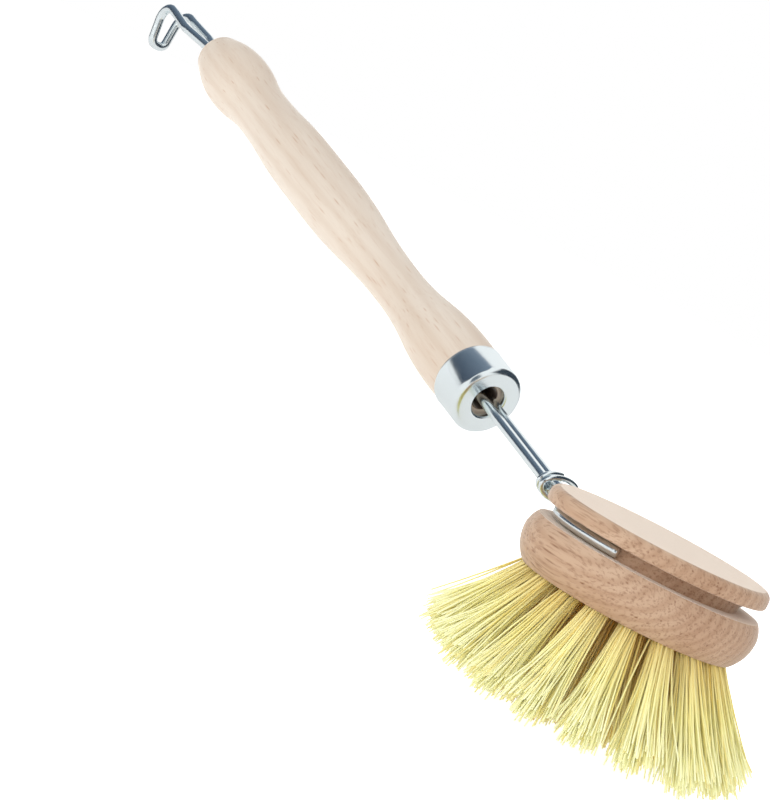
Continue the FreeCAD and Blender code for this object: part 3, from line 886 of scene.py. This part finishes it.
def makeTufts(name, rings, material, seed, tree):
    points, axes, sides, lengths, spreads = [], [], [], [], []
    for ring in rings:
        splay = math.radians(ring["splay"])
        reach = (underside - ring["tip"] * math.sin(splay)) / math.cos(splay)
        outward = ring["place"] / tuftRings["outer"]["place"]
        for index, (mouth, axis, side) in enumerate(tuftPlaces(ring)):
            trim = fibre["uneven"] * math.sin(fibre["unevenStep"] * index)
            longer = 1 + fibre["slope"] * side.y * outward + trim
            points.append(mouth)
            axes.extend((axis + side * fibre["lean"] * math.sin(fibre["leanStep"] * index + 1)).normalized())
            sides.extend(side)
            lengths.append(reach * mm * longer)
            spreads.append(ring["tip"] * mm)
    mesh = bpy.data.meshes.new(name)
    mesh.from_pydata([tuple(point) for point in points], [], [])
    for label, kind, values in (
        ("tuftAxis", "FLOAT_VECTOR", axes),
        ("tuftSide", "FLOAT_VECTOR", sides),
        ("tuftLength", "FLOAT", lengths),
        ("tuftSpread", "FLOAT", spreads),
    ):
        attribute = mesh.attributes.new(label, kind, "POINT")
        attribute.data.foreach_set("vector" if kind == "FLOAT_VECTOR" else "value", values)
    piece = bpy.data.objects.new(name, mesh)
    scene.collection.objects.link(piece)
    grown = piece.modifiers.new("fibres", "NODES")
    grown.node_group = tree
    settings = {
        "Fibres per tuft": rings[0]["fibres"],
        "Fibre radius": fibre["radius"] * mm,
        "Root radius": fibre["rootRadius"] * mm,
        "Depth in hole": fibre["depth"] * mm,
        "Flare": fibre["flare"] * mm,
        "Bow": fibre["bow"] * mm,
        "Ragged ends": fibre["ragged"] * mm,
        "Crossing": fibre["crossing"] * mm,
        "Dome": fibre["dome"],
        "Points along": fibre["points"],
        "Sides": fibre["sides"],
        "Seed": seed,
        "Material": material,
    }
    for socket in tree.interface.items_tree:
        if socket.in_out == "INPUT" and socket.name in settings:
            grown[socket.identifier] = settings[socket.name]
    piece.data = evaluatedMesh(piece)
    piece.modifiers.clear()
    return piece


tree = fibreTree()
outerTufts = makeTufts("outerTufts", [tuftRings["outer"]], outerFibre, 3, tree)
middleTufts = makeTufts("middleTufts", [tuftRings["middle"]], shadedFibre, 5, tree)
innerTufts = makeTufts("innerTufts", [tuftRings["inner"], tuftRings["centre"]], shadedFibre, 9, tree)
for tufts in (outerTufts, middleTufts, innerTufts):
    triangles = sum(len(face.vertices) - 2 for face in tufts.data.polygons)
    print(tufts.name, len(tufts.data.polygons), "faces", triangles, "triangles")


# the CAD tufts of the named rings
def tuftNodes(*rings):
    return [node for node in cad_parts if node.startswith(tuple("tuft_" + ring for ring in rings))]


for piece, body, slot, nodes in (
    (handlePiece, "handle_body", "handle_beech", ["handle"]),
    (ferrulePiece, "handle_body", "plated_steel", ["ferrule"]),
    (wirePiece, "handle_body", "plated_steel", ["wire_frame"]),
    (ringPiece, "ring_body", "plated_steel", ["lock_ring"]),
    (headPiece, "head_body", "head_beech", ["head_block", "head_back"]),
    (outerTufts, "head_body", "plant_fibre", tuftNodes("outer")),
    (middleTufts, "head_body", "plant_fibre", tuftNodes("middle")),
    (innerTufts, "head_body", "plant_fibre", tuftNodes("inner", "centre")),
):
    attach(piece, body)
    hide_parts(*nodes)
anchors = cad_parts["tuft_anchors"]
anchors.data.materials.clear()
anchors.data.materials.append(anchorSteel)


cameraView = {  # in metres, with the three directions of the picture
    "place": (0.455280, -0.384384, 0.082341),
    "right": (0.546892, 0.701634, 0.455462),
    "up": (-0.357189, -0.296187, 0.885164),
    "back": (0.756838, -0.647554, 0.088703),
    "lens": 136.36,
}
camera = bpy.data.objects.new("camera", bpy.data.cameras.new("camera"))
camera.data.lens = cameraView["lens"]
camera.data.sensor_width = 36
camera.data.clip_start = 0.02
camera.data.clip_end = 50
right, up, back = (Vector(cameraView[name]) for name in ("right", "up", "back"))
cameraTurn = Matrix((right, up, back)).transposed().to_4x4()
camera.matrix_world = Matrix.Translation(cameraView["place"]) @ cameraTurn
scene.collection.objects.link(camera)
scene.camera = camera


studio = {  # in metres and watts
    "middle": (0, 0, 0.04),  # the panels and cards stand round it
    "ambient": 0.55,
    "floorSize": 6.0,
    "floorLevel": -0.003,
    "floorGlow": 0.88,  # added to the paper where the lens sees it
    "floorBounce": 0.65,  # and where it lights the brush
    "floorInMetal": 0.12,  # and where the metal mirrors it
    "panels": (  # name, right, up, towards the camera, size, watts
        ("left panel", -0.55, 0.45, 0.35, 0.3, 1.0),
        ("right panel", 0.5, 0.35, 0.1, 0.6, 1.1),
        ("top panel", 0.0, 0.75, 0.3, 0.7, 1.6),
        ("front panel", 0.0, 0.12, 0.85, 0.3, 1.2),
    ),
    "cards": (  # name, direction from the brush, distance, width, height, shade of its two long sides
        ("neck card", (-0.567, -0.502, 0.653), 0.5, 0.81, 1.2, "#7b8a9b", "#303c4d"),
        ("front card", (0.80, -0.55, 0.2), 0.5, 0.22, 0.5, "#56636f", "#56636f"),
        ("left card", (-0.744, -0.473, -0.459), 0.5, 0.2, 0.8, "#3c4650", "#3c4650"),
        ("right card", (0.53, 0.70, 0.46), 0.5, 0.7, 0.7, "#39424c", "#39424c"),
    ),
}
middle = Vector(studio["middle"])
world = bpy.data.worlds.new("white room")
scene.world = world
world.use_nodes = True
world.node_tree.nodes.clear()

# white for the lens, the metal and clear things, and a plain level of light for the rest
tree = world.node_tree
ray = addNode(tree, "ShaderNodeLightPath").outputs
lensOrGloss = addNode(tree, "ShaderNodeMath", (ray["Is Camera Ray"], ray["Is Glossy Ray"]), operation="ADD")
seen = addNode(tree, "ShaderNodeMath", (
    lensOrGloss, ray["Is Transmission Ray"],
), operation="ADD", use_clamp=True)
lighting = addNode(tree, "ShaderNodeBackground", {"Color": (1, 1, 1, 1), "Strength": studio["ambient"]})
backdrop = addNode(tree, "ShaderNodeBackground", {"Color": (1, 1, 1, 1), "Strength": 1.0})
mixed = addNode(tree, "ShaderNodeMixShader", (seen, lighting, backdrop))
addNode(tree, "ShaderNodeOutputWorld", {"Surface": mixed})


def card(name, centre, facing, width, height, material):
    facing = facing.normalized()
    acrossWay = (alongHandle.cross(facing)).normalized()
    upWay = facing.cross(acrossWay)
    corners = [
        centre + acrossWay * x * width / 2 + upWay * y * height / 2
        for x, y in ((-1, -1), (1, -1), (1, 1), (-1, 1))
    ]
    piece = meshPiece(name, corners, [(0, 1, 2, 3)], material)
    return piece


# white paper floor: near white where nothing shades it, soft grey under the brush
floorPaper, tree = newMaterial("floor paper")
paper = addNode(tree, "ShaderNodeBsdfDiffuse", {"Color": linearColour("#e8e8e8")})
ray = addNode(tree, "ShaderNodeLightPath").outputs
bounce = addNode(tree, "ShaderNodeMapRange", {
    "Value": ray["Is Diffuse Ray"], "To Min": studio["floorInMetal"], "To Max": studio["floorBounce"],
})
lift = addNode(tree, "ShaderNodeMapRange", {
    "Value": ray["Is Camera Ray"], "To Min": bounce, "To Max": studio["floorGlow"],
})
glow = addNode(tree, "ShaderNodeEmission", {"Color": (1, 1, 1, 1), "Strength": lift})
surface = addNode(tree, "ShaderNodeAddShader", (paper, glow))
addNode(tree, "ShaderNodeOutputMaterial", {"Surface": surface})
floorPlace = Vector((0, 0, studio["floorLevel"]))
floorSize = studio["floorSize"]
card("floor", floorPlace, Vector((0, 0, 1)), floorSize, floorSize, floorPaper)

# dark cards, seen only in the metal
cardPaper, tree = newMaterial("slate card")
shade = addNode(tree, "ShaderNodeAttribute", attribute_name="cardShade")
shader = addNode(tree, "ShaderNodeEmission", {"Color": shade.outputs["Color"], "Strength": 1.0})
addNode(tree, "ShaderNodeOutputMaterial", {"Surface": shader})
for name, direction, distance, width, height, firstShade, secondShade in studio["cards"]:
    away = Vector(direction).normalized()
    piece = card(name, middle + away * distance, -away, width, height, cardPaper)
    shades = piece.data.color_attributes.new("cardShade", "FLOAT_COLOR", "POINT")
    for corner, hexCode in enumerate((firstShade, secondShade, secondShade, firstShade)):
        shades.data[corner].color = linearColour(hexCode)
    piece.visible_camera = False
    piece.visible_diffuse = False
    piece.visible_shadow = False
    piece.visible_transmission = False
for name, x, y, z, size, watts in studio["panels"]:
    lamp = bpy.data.lights.new(name, "AREA")
    lamp.size = size
    lamp.energy = watts
    panel = bpy.data.objects.new(name, lamp)
    towards = right * x + up * y + back * z
    facing = towards.to_track_quat("Z", "Y").to_matrix().to_4x4()
    panel.matrix_world = Matrix.Translation(middle + towards) @ facing
    panel.visible_glossy = False
    scene.collection.objects.link(panel)
print("camera, floor and light set")
